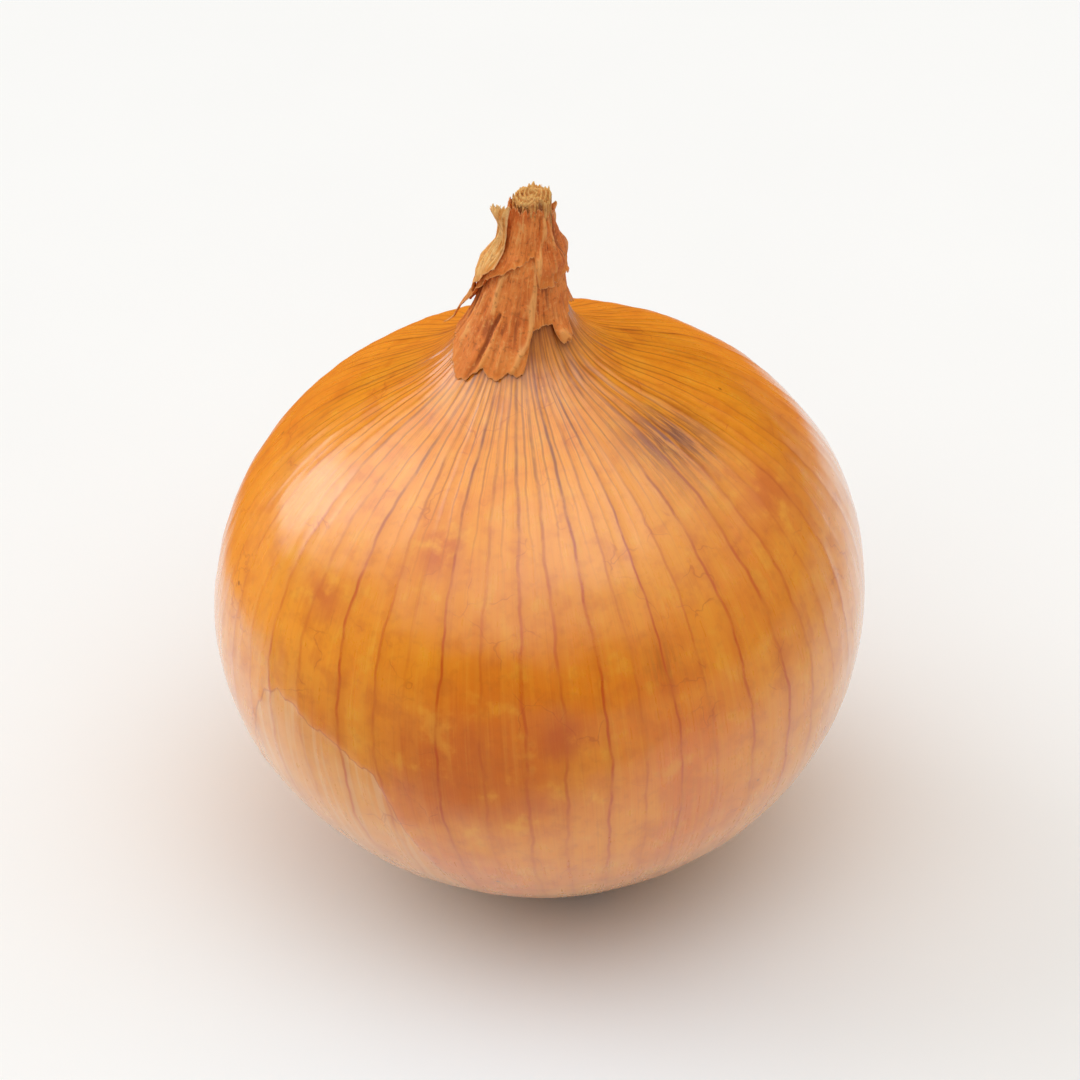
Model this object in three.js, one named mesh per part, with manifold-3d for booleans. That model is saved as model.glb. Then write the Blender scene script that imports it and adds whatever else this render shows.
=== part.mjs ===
// A whole dry onion (Allium cepa) standing on its root tuft, with the slight lean that a real one has.
// Millimetres, +Z up. The origin is on the surface it stands on, under the middle of its bounding box.
//
// Every piece is first laid out round a straight upright axis, on or beside one profile line, the skin line.
// One warp then makes all of them uneven alike, so the gaps between them stay, and one turn leans them.

import * as THREE from "three";
import { mergeVertices } from "three/addons/utils/BufferGeometryUtils.js";
import Module from "manifold-3d";

const wasm = await Module();
wasm.setup();

// ---------------------------------------------------------------- driving dimensions

const BULB_RADIUS = 40;
const BULB_RISE = 35.2; // from the widest ring up to where the top of the bulb would close
const BULB_DROP = 36.6; // from the widest ring down to where the bottom would close
const BASE_HEIGHT = 1.7; // the closed bottom's height above the table
const WIDEST_Z = BASE_HEIGHT + BULB_DROP;
const SHOULDER_Z = WIDEST_Z + BULB_RISE;

const DIMPLE_DEPTH = 1.6; // the hollow that the root plate sits in
const DIMPLE_RADIUS = 7;

const NECK_HEIGHT = 23; // above SHOULDER_Z
const NECK_TIP_RADIUS = 2.15;
const NECK_FLARE = 2.05; // how slowly the skin spreads from the neck to its foot
const MOUND_HEIGHT = 4.8; // the low mound that the neck's foot stands on
const MOUND_RADIUS = 8.5;
const NECK_TOP_Z = SHOULDER_Z + NECK_HEIGHT;
const BULB_TOP_Z = SHOULDER_Z + 9.5; // the bulb ends here, inside the neck's dry leaves

const LEAN_LEFT = THREE.MathUtils.degToRad(4.5); // towards -X
const LEAN_BACK = THREE.MathUtils.degToRad(3.5); // towards +Y

const VEINS = 48; // raised meridian lines on the skin
const VEIN_RELIEF = 0.2;
const COLUMNS_PER_VEIN = 2;
const BULB_RINGS = 32;

const GAP = 0.3; // between pieces that lie on each other
const LEAF = 0.6; // thickness of a dry leaf or a flake of skin

const CREASE = 0.2; // how far the collar's creases stand up
const FOLD = 0.3; // and the sheath's folds
const ROLL_LIFT = 1.1; // of the sheath's outer edge, over its inner one
const FLAP_AZIMUTH = THREE.MathUtils.degToRad(-168); // left, as seen from the front, which is -Y
const FLAP_WIDTH = THREE.MathUtils.degToRad(56);
const FLAP_FOOT = 3.2; // its lower edge's middle, above the sheath's hem
const FLAP_SLANT = 17; // and how steeply that edge climbs to the right, per radian

// The torn hems of the two neck leaves: azimuth in degrees, millimetres above each leaf's own hem mark.
const COLLAR_HEM_RISE = [
  [-270, 2.4],
  [-190, 0.6],
  [-150, -1.2],
  [-137, -0.7],
  [-132, 1.1],
  [-110, 0],
  [-95, 1],
  [-82, 4.8],
  [-70, 7],
  [-10, 7],
  [30, 5],
  [60, 3.4],
  [90, 2.4],
];
const SHEATH_HEM_RISE = [
  [-270, 0.4],
  [-240, -1],
  [-205, -2.4],
  [-190, -1.8],
  [-170, 1.7],
  [-150, 4.6],
  [-130, 6.2],
  [-90, 6.8],
  [-40, 6.2],
  [-10, 5.4],
  [30, 3.6],
  [60, 1.8],
  [90, 0.4],
];

const ROOTS = 58;
const ROOT_RADIUS = 0.46;
const ROOT_STEPS = 4;
const ROOT_HEIGHT = 1.3; // where the roots leave the plate
const PLATE_RADIUS = 6.4;
const PLATE_DEPTH = 1.4; // how far it would reach below the table, where it is pressed flat

// ---------------------------------------------------------------- small helpers

const TURN = 2 * Math.PI;
const { lerp, smoothstep, degToRad, radToDeg } = THREE.MathUtils;

// A repeatable random number from 0 to 1 for each seed (mulberry32).
function randomFrom(seed) {
  let state = seed;
  return () => {
    state = (state + 0x6d2b79f5) | 0;
    let t = Math.imul(state ^ (state >>> 15), 1 | state);
    t = (t + Math.imul(t ^ (t >>> 7), 61 | t)) ^ t;
    return ((t ^ (t >>> 14)) >>> 0) / 4294967296;
  };
}

// A three.js geometry as a manifold-3d solid, and back.
function solidFrom(geometry) {
  const bare = geometry.clone();
  bare.deleteAttribute("normal");
  bare.deleteAttribute("uv");
  const merged = mergeVertices(bare, 1e-4);
  return new wasm.Manifold(
    new wasm.Mesh({
      numProp: 3,
      vertProperties: Float32Array.from(merged.attributes.position.array),
      triVerts: Uint32Array.from(merged.index.array),
    }),
  );
}

function geometryFrom(solid) {
  const mesh = solid.getMesh();
  const geometry = new THREE.BufferGeometry();
  geometry.setAttribute("position", new THREE.BufferAttribute(mesh.vertProperties, 3));
  geometry.setIndex(new THREE.BufferAttribute(mesh.triVerts, 1));
  geometry.computeVertexNormals();
  return geometry;
}

// ---------------------------------------------------------------- the skin line

// Heights of the skin over and under the widest ring, at radius r from the axis.
function topOfSkin(r) {
  const dome = BULB_RISE * Math.sqrt(1 - (r / BULB_RADIUS) ** 2);
  const mound = MOUND_HEIGHT * Math.exp(-((r / MOUND_RADIUS) ** 2));
  const neck = (NECK_HEIGHT - MOUND_HEIGHT) * Math.exp((NECK_TIP_RADIUS - r) / NECK_FLARE);
  return WIDEST_Z + dome + mound + neck;
}

function bottomOfSkin(r) {
  const bowl = BULB_DROP * Math.sqrt(1 - (r / BULB_RADIUS) ** 2);
  return WIDEST_Z - bowl + DIMPLE_DEPTH * Math.exp(-((r / DIMPLE_RADIUS) ** 2));
}

// The whole profile from the middle of the root dimple round to the neck's tip, as (radius, height).
function makeSkinLine() {
  const points = [];
  const steps = 60;
  for (let i = 0; i < steps; i++) {
    const r = BULB_RADIUS * Math.sin((i / steps) * (TURN / 4));
    points.push(new THREE.Vector2(r, bottomOfSkin(r)));
  }
  for (let i = steps; i >= 0; i--) {
    const r = lerp(NECK_TIP_RADIUS, BULB_RADIUS, Math.sin((i / steps) * (TURN / 4)) ** 2);
    points.push(new THREE.Vector2(r, topOfSkin(r)));
  }
  const line = new THREE.SplineCurve(points);
  line.arcLengthDivisions = 2000;
  return line;
}

const SKIN_LINE = makeSkinLine();
const SKIN_LENGTH = SKIN_LINE.getLength();

// How far along the skin line, from 0 to 1, the skin reaches height z on the upper half.
function alongAtHeight(z) {
  let low = 0.5;
  let high = 1;
  for (let i = 0; i < 30; i++) {
    const middle = (low + high) / 2;
    if (SKIN_LINE.getPointAt(middle).y < z) low = middle;
    else high = middle;
  }
  return (low + high) / 2;
}

// How far along the skin line the skin reaches radius r on its underside.
function alongAtLowRadius(r) {
  let low = 0;
  let high = 0.35;
  for (let i = 0; i < 30; i++) {
    const middle = (low + high) / 2;
    if (SKIN_LINE.getPointAt(middle).x < r) low = middle;
    else high = middle;
  }
  return (low + high) / 2;
}

// Edges of the neck's dry leaves, along the skin line.
const COLLAR_HEM = alongAtHeight(SHOULDER_Z + 1.4);
const COLLAR_RIM = alongAtHeight(SHOULDER_Z + 13);
const SHEATH_HEM = alongAtHeight(SHOULDER_Z + 6);
const SHEATH_RIM = alongAtHeight(NECK_TOP_Z - 0.9);

// A point beside the skin line: at azimuth, along it, and lifted off it along its outward normal.
function beside(azimuth, along, lift) {
  const place = SKIN_LINE.getPointAt(THREE.MathUtils.clamp(along, 0, 1));
  const tangent = SKIN_LINE.getTangentAt(THREE.MathUtils.clamp(along, 0, 1));
  const r = place.x + tangent.y * lift;
  const z = place.y - tangent.x * lift;
  return new THREE.Vector3(r * Math.cos(azimuth), r * Math.sin(azimuth), z);
}

// ---------------------------------------------------------------- what makes it uneven

const LOBES = [
  { count: 2, size: 0.009, turn: 0.6 },
  { count: 3, size: 0.007, turn: 2.1 },
  { count: 5, size: 0.004, turn: 4.4 },
];
const SPACING = [
  { count: 3, size: 0.035, turn: 1.0 },
  { count: 7, size: 0.022, turn: 3.3 },
];
const NECK_BEND_X = 3.6; // how far the neck's tip leans back upright
const NECK_BEND_Y = -0.8;

function waves(list, azimuth) {
  return list.reduce((sum, w) => sum + w.size * Math.cos(w.count * azimuth - w.turn), 0);
}

// Moves a point of the even onion to where it is on the uneven one.
function natural(p) {
  const azimuth = Math.atan2(p.y, p.x);
  const girth = 1 + waves(LOBES, azimuth);
  const turned = azimuth + waves(SPACING, azimuth);
  const r = Math.hypot(p.x, p.y) * girth;
  const up = smoothstep(p.z, SHOULDER_Z - 2, NECK_TOP_Z + 4);
  return p.set(
    r * Math.cos(turned) + NECK_BEND_X * up,
    r * Math.sin(turned) + NECK_BEND_Y * up,
    p.z,
  );
}

const LEAN = new THREE.Matrix4()
  .makeRotationY(-LEAN_LEFT)
  .multiply(new THREE.Matrix4().makeRotationX(-LEAN_BACK));

// Warps and leans a geometry that was laid out on the even, upright onion.
function grown(geometry) {
  const position = geometry.attributes.position;
  const p = new THREE.Vector3();
  for (let i = 0; i < position.count; i++) {
    natural(p.fromBufferAttribute(position, i));
    position.setXYZ(i, p.x, p.y, p.z);
  }
  return geometry.applyMatrix4(LEAN);
}

// ---------------------------------------------------------------- pieces

const MATERIALS = {
  skin: { color: 0xd98a3a, roughness: 0.38 },
  dryLeaf: { color: 0xa9683a, roughness: 0.8 },
  paleLeaf: { color: 0xc99a5c, roughness: 0.85 },
  stalk: { color: 0xb9a67c, roughness: 0.9 },
  root: { color: 0x6a5743, roughness: 0.95 },
};

function piece(name, geometry, look) {
  const material = new THREE.MeshStandardMaterial({ ...MATERIALS[look], metalness: 0 });
  const mesh = new THREE.Mesh(geometry, material);
  mesh.name = name;
  return mesh;
}

// A LatheGeometry stands on Y: this stands it on Z.
function latheUpright(points, segments) {
  return new THREE.LatheGeometry(points, segments).rotateX(TURN / 4);
}

// The bulb in its outermost shining skin, with a ridge at each vein.
function bulb() {
  const end = alongAtHeight(BULB_TOP_Z);
  const points = [];
  for (let i = 0; i <= BULB_RINGS; i++) {
    const place = SKIN_LINE.getPointAt((i / BULB_RINGS) * end);
    points.push(i === 0 ? new THREE.Vector2(0, place.y) : place);
  }
  points.push(new THREE.Vector2(0, BULB_TOP_Z));
  const geometry = latheUpright(points, VEINS * COLUMNS_PER_VEIN);
  const position = geometry.attributes.position;
  for (let i = 0; i < position.count; i++) {
    const x = position.getX(i);
    const y = position.getY(i);
    const r = Math.hypot(x, y);
    if (r < 1e-3) continue;
    const ridge = Math.abs(Math.cos((VEINS * Math.atan2(y, x)) / 2)) ** 6;
    const fade = smoothstep(r, PLATE_RADIUS, BULB_RADIUS / 2);
    const grow = 1 + (VEIN_RELIEF * ridge * fade) / r;
    position.setXYZ(i, x * grow, y * grow, position.getZ(i));
  }
  return geometryFrom(solidFrom(grown(geometry)));
}

// A thin leaf that lies round the onion, between two edges given along the skin line for each azimuth.
// lift(azimuth, along) is its inner face's height off the skin.
function leaf({ from, to, low, high, lift, columns, rows, thickness = LEAF }) {
  const positions = [];
  const index = [];
  const side = (rows + 1) * (columns + 1);
  for (const outer of [0, 1])
    for (let i = 0; i <= columns; i++)
      for (let j = 0; j <= rows; j++) {
        const azimuth = lerp(from, to, i / columns);
        const along = lerp(low(azimuth, i), high(azimuth, i), j / rows);
        const p = beside(azimuth, along, lift(azimuth, along) + outer * thickness);
        positions.push(p.x, p.y, p.z);
      }
  const at = (outer, i, j) => outer * side + i * (rows + 1) + j;
  const quad = (a, b, c, d) => index.push(a, b, c, a, c, d);
  for (let i = 0; i < columns; i++)
    for (let j = 0; j < rows; j++) {
      const [a, b, c, d] = [at(1, i, j), at(1, i + 1, j), at(1, i + 1, j + 1), at(1, i, j + 1)];
      quad(a, b, c, d);
      index.push(a - side, c - side, b - side, a - side, d - side, c - side);
    }
  for (let i = 0; i < columns; i++) {
    quad(at(0, i, 0), at(0, i + 1, 0), at(1, i + 1, 0), at(1, i, 0));
    quad(at(1, i, rows), at(1, i + 1, rows), at(0, i + 1, rows), at(0, i, rows));
  }
  for (let j = 0; j < rows; j++) {
    quad(at(0, 0, j), at(1, 0, j), at(1, 0, j + 1), at(0, 0, j + 1));
    quad(at(1, columns, j), at(0, columns, j), at(0, columns, j + 1), at(1, columns, j + 1));
  }
  const geometry = new THREE.BufferGeometry();
  geometry.setAttribute("position", new THREE.Float32BufferAttribute(positions, 3));
  geometry.setIndex(index);
  return geometryFrom(solidFrom(grown(geometry)));
}

// The withered stalk that the inner leaves end in, cut off ragged at the top.
function neckStalk() {
  const random = randomFrom(11);
  const rings = 8;
  const sides = 20;
  const start = alongAtHeight(BULB_TOP_Z + GAP);
  const points = [new THREE.Vector2(0, BULB_TOP_Z + GAP)];
  for (let i = 0; i <= rings; i++) points.push(SKIN_LINE.getPointAt(lerp(start, 1, i / rings)));
  const lip = points.length;
  points.push(new THREE.Vector2(NECK_TIP_RADIUS * 0.55, NECK_TOP_Z + 0.7));
  points.push(new THREE.Vector2(0, NECK_TOP_Z + 0.2));
  const geometry = latheUpright(points, sides);
  const position = geometry.attributes.position;
  const ragged = Array.from({ length: sides }, () => random() * 1.5 - 0.9);
  for (let i = 0; i < position.count; i++) {
    const column = Math.floor(i / points.length) % sides;
    const row = i % points.length;
    const z = position.getZ(i);
    const isTop = row === lip - 1 || row === lip;
    const pleat = row > 0 && row < points.length - 1 && column % 2 ? 0.93 : 1;
    position.setXYZ(
      i,
      position.getX(i) * pleat,
      position.getY(i) * pleat,
      isTop ? z + ragged[column] : z,
    );
  }
  return geometryFrom(solidFrom(grown(geometry)));
}

// A torn edge: how far each column of the edge reaches past its mean, from -1 to 1.
function tornEdge(seed, columns) {
  const random = randomFrom(seed);
  const edge = [];
  let reach = 0;
  for (let i = 0; i <= columns; i++) {
    reach = i % 3 ? reach * 0.35 : random() * 2 - 1;
    edge.push(reach);
  }
  return edge;
}

// A hem table read at an azimuth in radians, which may lie past its ends by part of a turn.
function hemRise(table, azimuth) {
  const degrees = radToDeg(azimuth);
  const first = table[0][0];
  const inside = THREE.MathUtils.euclideanModulo(degrees - first, 360) + first;
  const next = Math.max(1, table.findIndex(([at]) => at >= inside));
  const [fromAt, fromRise] = table[next - 1];
  const [toAt, toRise] = table[next];
  return lerp(fromRise, toRise, (inside - fromAt) / (toAt - fromAt));
}

// The lower dry leaf: it lies on the shoulder round the neck, low on the left and torn off high on the right.
function collarLift(azimuth, along) {
  const share = (along - COLLAR_HEM) / (COLLAR_RIM - COLLAR_HEM);
  const crease = Math.abs(Math.sin(9 * azimuth)) * smoothstep(share, 0, 0.5);
  return GAP + CREASE * crease;
}

function neckCollar() {
  const columns = 72;
  const hem = tornEdge(5, columns);
  const rim = tornEdge(8, columns);
  return leaf({
    from: degToRad(-245),
    to: degToRad(112),
    columns,
    rows: 9,
    low: (azimuth, i) => COLLAR_HEM + (hemRise(COLLAR_HEM_RISE, azimuth) - 0.5 * hem[i]) / SKIN_LENGTH,
    high: (azimuth, i) => COLLAR_RIM + (0.35 * rim[i]) / SKIN_LENGTH,
    lift: collarLift,
  });
}

// The upper dry leaf, rolled round the stalk and the top of the collar, with long folds.
function sheathLift(azimuth, along) {
  const overCollar = collarLift(azimuth, along) + LEAF + GAP;
  const share = (along - COLLAR_RIM) / (SHEATH_RIM - COLLAR_RIM);
  const seat = lerp(overCollar, GAP, smoothstep(share, 0.06, 0.5));
  const roll = ROLL_LIFT * smoothstep(azimuth, degToRad(-10), degToRad(95));
  const fold = FOLD * Math.sin(4 * azimuth + 60 * along) ** 2;
  return seat + roll + fold;
}

function neckSheath() {
  const columns = 60;
  const hem = tornEdge(21, columns);
  const rim = tornEdge(34, columns);
  return leaf({
    from: degToRad(-290),
    to: degToRad(95),
    columns,
    rows: 12,
    low: (azimuth, i) => SHEATH_HEM + (hemRise(SHEATH_HEM_RISE, azimuth) + 0.6 * hem[i]) / SKIN_LENGTH,
    high: (azimuth, i) => SHEATH_RIM + (0.8 * rim[i] + 0.5 * Math.sin(2 * azimuth)) / SKIN_LENGTH,
    lift: sheathLift,
  });
}

// The loose strip of dry leaf at the left of the neck, standing off at its torn tip.
function neckFlap() {
  const tip = SHEATH_RIM - 0.4 / SKIN_LENGTH;
  return leaf({
    from: FLAP_AZIMUTH - FLAP_WIDTH / 2,
    to: FLAP_AZIMUTH + FLAP_WIDTH / 2,
    columns: 8,
    rows: 12,
    low: (azimuth) => SHEATH_HEM + (FLAP_FOOT + FLAP_SLANT * (azimuth - FLAP_AZIMUTH)) / SKIN_LENGTH,
    high: (azimuth, i) => tip + (i % 2 ? 0.9 : -0.5) / SKIN_LENGTH,
    lift: (azimuth, along) => {
      const share = (along - SHEATH_HEM) / (tip - SHEATH_HEM);
      const standOff = 0.15 * share + 1.0 * smoothstep(share, 0.55, 1);
      return sheathLift(azimuth, along) + LEAF + GAP + standOff;
    },
  });
}

// A flake left of an outer skin, on the underside beside the roots.
function rootFlake(middle, width, reach, seed) {
  const columns = 12;
  const torn = tornEdge(seed, columns);
  const inner = alongAtLowRadius(DIMPLE_RADIUS + 1.6);
  return leaf({
    from: degToRad(middle - width / 2),
    to: degToRad(middle + width / 2),
    columns,
    rows: 4,
    low: () => inner,
    high: (azimuth, i) => {
      const share = Math.sin((Math.PI * (i + 0.7)) / (columns + 1.4));
      return inner + (reach * share + 0.7 * torn[i]) / SKIN_LENGTH;
    },
    lift: (azimuth, along) => GAP + 0.2 * (((along - inner) * SKIN_LENGTH) / reach) ** 2,
  });
}

// One dry root: out of the plate, down to the table and curling along it.
function root(random) {
  const azimuth = random() * TURN;
  const start = PLATE_RADIUS * Math.sqrt(random()) * 0.92;
  const reach = start + 1.2 + 3.6 * random() ** 2;
  const turn = (random() - 0.5) * 1.5;
  const height = 0.15 + random() * 0.9;
  const curl = (random() - 0.5) * 1.6;
  const at = (r, a, z) => new THREE.Vector3(r * Math.cos(a), r * Math.sin(a), z);
  const path = new THREE.CatmullRomCurve3([
    at(start * 0.8, azimuth, ROOT_HEIGHT),
    at(lerp(start, reach, 0.35), azimuth + turn * 0.2, lerp(ROOT_HEIGHT, height, 0.6)),
    at(lerp(start, reach, 0.75), azimuth + turn * 0.6, height),
    at(reach, azimuth + turn + curl * 0.2, height + 0.4 * random()),
  ]);
  const section = new THREE.Shape();
  for (let i = 0; i < 4; i++) {
    const a = ((i + 0.5) * TURN) / 4;
    section[i ? "lineTo" : "moveTo"](ROOT_RADIUS * Math.cos(a), ROOT_RADIUS * Math.sin(a));
  }
  section.closePath();
  return new THREE.ExtrudeGeometry(section, { steps: ROOT_STEPS, extrudePath: path });
}

// The root plate with its tuft of short dry roots, pressed flat where the onion stands on them.
function rootPlate() {
  const random = randomFrom(77);
  const rings = 5;
  const points = [new THREE.Vector2(0, -PLATE_DEPTH), new THREE.Vector2(PLATE_RADIUS, -PLATE_DEPTH)];
  for (let i = rings; i >= 0; i--) {
    const r = (PLATE_RADIUS * i) / rings;
    points.push(new THREE.Vector2(r, bottomOfSkin(r) - GAP));
  }
  let solid = solidFrom(grown(latheUpright(points, 28)));
  for (let i = 0; i < ROOTS; i++) solid = solid.add(solidFrom(grown(root(random))));
  const table = new THREE.BoxGeometry(200, 200, 50).translate(0, 0, -25);
  const parts = solid.subtract(solidFrom(table)).decompose();
  parts.sort((a, b) => b.volume() - a.volume());
  return geometryFrom(parts[0]);
}

// ---------------------------------------------------------------- the onion

const onion = new THREE.Group();
onion.add(
  piece("bulb", bulb(), "skin"),
  piece("neck_stalk", neckStalk(), "stalk"),
  piece("neck_collar", neckCollar(), "dryLeaf"),
  piece("neck_sheath", neckSheath(), "dryLeaf"),
  piece("neck_flap", neckFlap(), "paleLeaf"),
  piece("root_plate", rootPlate(), "root"),
  piece("skin_flake_left", rootFlake(170, 70, 6.5, 41), "paleLeaf"),
  piece("skin_flake_front", rootFlake(-75, 50, 5, 42), "paleLeaf"),
);

// The origin goes under the middle of the bounding box.
const middle = new THREE.Box3().setFromObject(onion).getCenter(new THREE.Vector3());
onion.position.set(-middle.x, -middle.y, 0);

export default onion;
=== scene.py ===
"""The looks of a whole dry yellow onion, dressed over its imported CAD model.

Lengths are millimetres in the shape code and become metres when a mesh is made. As in the CAD, every
piece is first laid out round a straight upright axis, on or beside one profile line, the skin line.
One warp then makes all of them uneven alike, and one turn leans them.
"""

import math

import bpy
import numpy as np
from mathutils import Matrix, Vector, noise


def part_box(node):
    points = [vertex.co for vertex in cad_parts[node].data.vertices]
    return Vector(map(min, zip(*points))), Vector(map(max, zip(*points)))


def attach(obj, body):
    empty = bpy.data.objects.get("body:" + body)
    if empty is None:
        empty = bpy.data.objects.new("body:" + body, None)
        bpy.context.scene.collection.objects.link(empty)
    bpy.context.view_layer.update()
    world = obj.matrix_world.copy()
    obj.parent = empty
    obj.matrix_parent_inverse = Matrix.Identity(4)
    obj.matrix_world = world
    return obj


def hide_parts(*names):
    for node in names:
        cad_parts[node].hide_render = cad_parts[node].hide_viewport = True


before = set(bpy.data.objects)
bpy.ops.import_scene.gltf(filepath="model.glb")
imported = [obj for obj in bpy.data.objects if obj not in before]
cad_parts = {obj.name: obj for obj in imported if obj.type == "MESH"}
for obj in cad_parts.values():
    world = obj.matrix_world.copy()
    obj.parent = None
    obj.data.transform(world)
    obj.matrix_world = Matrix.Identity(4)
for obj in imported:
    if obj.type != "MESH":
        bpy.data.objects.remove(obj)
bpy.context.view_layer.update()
MM = 0.001
TURN = 2 * math.pi

# ---- driving dimensions, as in the CAD

BULB_RADIUS = 40.0
BULB_RISE = 35.2
BULB_DROP = 36.6
BASE_HEIGHT = 1.7
WIDEST_Z = BASE_HEIGHT + BULB_DROP
SHOULDER_Z = WIDEST_Z + BULB_RISE

DIMPLE_DEPTH = 1.6
DIMPLE_RADIUS = 7.0

NECK_HEIGHT = 23.0
NECK_TIP_RADIUS = 2.15
NECK_FLARE = 2.05
MOUND_HEIGHT = 4.8
MOUND_RADIUS = 8.5
NECK_TOP_Z = SHOULDER_Z + NECK_HEIGHT
BULB_TOP_Z = SHOULDER_Z + 13  # further up inside the neck than in the CAD

LEAN_LEFT = math.radians(4.5)
LEAN_BACK = math.radians(3.5)
NECK_BEND = (3.6, -0.8)
LOBES = ((2, 0.009, 0.6), (3, 0.007, 2.1), (5, 0.004, 4.4))  # count, size, turn
SPACING = ((3, 0.035, 1.0), (7, 0.022, 3.3))

VEINS = 48

# ---- shape helpers


def smoothstep(x, low, high):
    t = np.clip((x - low) / (high - low), 0, 1)
    return t * t * (3 - 2 * t)


def top_of_skin(r):
    dome = BULB_RISE * np.sqrt(np.maximum(0, 1 - (r / BULB_RADIUS) ** 2))
    mound = MOUND_HEIGHT * np.exp(-((r / MOUND_RADIUS) ** 2))
    neck = (NECK_HEIGHT - MOUND_HEIGHT) * np.exp((NECK_TIP_RADIUS - r) / NECK_FLARE)
    return WIDEST_Z + dome + mound + neck


def bottom_of_skin(r):
    bowl = BULB_DROP * np.sqrt(np.maximum(0, 1 - (r / BULB_RADIUS) ** 2))
    return WIDEST_Z - bowl + DIMPLE_DEPTH * np.exp(-((r / DIMPLE_RADIUS) ** 2))


class SkinLine:
    """The profile from the middle of the root dimple round to the neck's tip, by arc length."""

    def __init__(self, steps=3000):
        low = BULB_RADIUS * np.sin(np.linspace(0, TURN / 4, steps))
        falling = np.sin(np.linspace(TURN / 4, 0, steps)) ** 2
        high = NECK_TIP_RADIUS + (BULB_RADIUS - NECK_TIP_RADIUS) * falling
        r = np.concatenate([low, high[1:]])
        z = np.concatenate([bottom_of_skin(low), top_of_skin(high[1:])])
        arc = np.concatenate([[0], np.cumsum(np.hypot(np.diff(r), np.diff(z)))])
        self.length = arc[-1]
        self.along = arc / arc[-1]
        self.r, self.z = r, z
        self.dr, self.dz = np.gradient(r, arc), np.gradient(z, arc)

    def at(self, along):
        """Radius, height and outward normal (in r, z) at shares of the way along."""
        lines = (self.r, self.z, self.dr, self.dz)
        r, z, dr, dz = (np.interp(along, self.along, values) for values in lines)
        size = np.hypot(dr, dz)
        return r, z, dz / size, -dr / size

    def at_height(self, z):
        """How far along the line reaches height z on the upper half."""
        upper = self.along > 0.5
        return float(np.interp(z, self.z[upper], self.along[upper]))

    def at_low_radius(self, r):
        """How far along the line reaches radius r on its underside."""
        lower = self.along < 0.3
        return float(np.interp(r, self.r[lower], self.along[lower]))


SKIN = SkinLine()


def polar(azimuth, r, z):
    """Points at an azimuth, a radius and a height, as an array of x, y, z."""
    return np.stack([r * np.cos(azimuth), r * np.sin(azimuth), z], axis=-1)


def beside(azimuth, along, lift):
    """Points at an azimuth, along the skin line, and lifted off it."""
    r, z, nr, nz = SKIN.at(along)
    return polar(azimuth, r + nr * lift, z + nz * lift)


def waves(table, azimuth):
    return sum(size * np.cos(count * azimuth - turn) for count, size, turn in table)


LEAN = np.array(Matrix.Rotation(-LEAN_LEFT, 3, "Y") @ Matrix.Rotation(-LEAN_BACK, 3, "X"))


def grown(points):
    """Moves points of the even, upright onion to where they are on the uneven, leaning one."""
    x, y, z = points[..., 0], points[..., 1], points[..., 2]
    azimuth = np.arctan2(y, x)
    turned = azimuth + waves(SPACING, azimuth)
    r = np.hypot(x, y) * (1 + waves(LOBES, azimuth))
    up = smoothstep(z, SHOULDER_Z - 2, NECK_TOP_Z + 4)
    x = r * np.cos(turned) + NECK_BEND[0] * up
    y = r * np.sin(turned) + NECK_BEND[1] * up
    return np.stack([x, y, z], axis=-1) @ LEAN.T


# ---- mesh helpers


def random_from(seed):
    return np.random.default_rng(seed)


def rough(points, size, seed, octaves=3):
    """Smooth noise from about -1 to 1 at each point, with features of about that size."""
    shift = Vector((seed * 13.7, seed * 7.3, seed * 3.1))
    flat = points.reshape(-1, 3)
    values = [noise.fractal(Vector(p) / size + shift, 1.0, 2.0, octaves) for p in flat]
    return np.array(values).reshape(points.shape[:-1])


def add_attribute(mesh, name, values):
    """A number, or three, for each vertex, which the materials read by name."""
    values = np.asarray(values, dtype=np.float32)
    kind = "FLOAT_VECTOR" if values.ndim > 1 else "FLOAT"
    attribute = mesh.attributes.new(name, kind, "POINT")
    attribute.data.foreach_set("vector" if values.ndim > 1 else "value", values.ravel())


def add_object(name, data):
    made = bpy.data.objects.new(name, data)
    bpy.context.scene.collection.objects.link(made)
    return made


def make_piece(name, points, faces, material, attributes):
    """A mesh object from points in millimetres on the finished onion."""
    mesh = bpy.data.meshes.new(name)
    mesh.from_pydata((points * MM).tolist(), [], faces)
    for key, values in attributes.items():
        add_attribute(mesh, key, values)
    mesh.shade_smooth()
    mesh.materials.append(material)
    return add_object(name, mesh)


def with_ends(attributes):
    """The same attributes with zeros for the two end points of a closed form."""
    return {key: np.concatenate([values, np.zeros((2, 3))]) for key, values in attributes.items()}


def fan(ring, middle):
    """Triangles from each edge of a ring of vertices to a middle vertex."""
    return [(int(a), int(b), middle) for a, b in zip(ring, np.roll(ring, -1))]


def triples(*values):
    """Three arrays as three numbers for each point."""
    return np.stack(values, axis=-1).reshape(-1, 3)


def even_places(azimuth, along):
    return polar(azimuth, 1, along).reshape(-1, 3)


def closed_faces(rows, columns):
    """Faces of rings of vertices, each ring a row, closed by the two vertices that follow them."""
    j, i = np.meshgrid(np.arange(rows - 1), np.arange(columns), indexing="ij")
    k = (i + 1) % columns
    low, high = j * columns, (j + 1) * columns
    quads = np.stack([low + i, low + k, high + k, high + i], axis=-1).reshape(-1, 4)
    first_ring = np.arange(columns)
    bottom, top = rows * columns, rows * columns + 1
    return quads.tolist() + fan(first_ring[::-1], bottom) + fan(first_ring + bottom - columns, top)


# ---- node helpers

NOISE_ROUGHNESS = 0.55


def tone(code):
    """A colour written as sRGB hex, as the linear RGBA that a shader takes."""
    shares = [int(code[i : i + 2], 16) / 255 for i in (0, 2, 4)]
    return [s / 12.92 if s <= 0.04045 else ((s + 0.055) / 1.055) ** 2.4 for s in shares] + [1.0]


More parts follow.
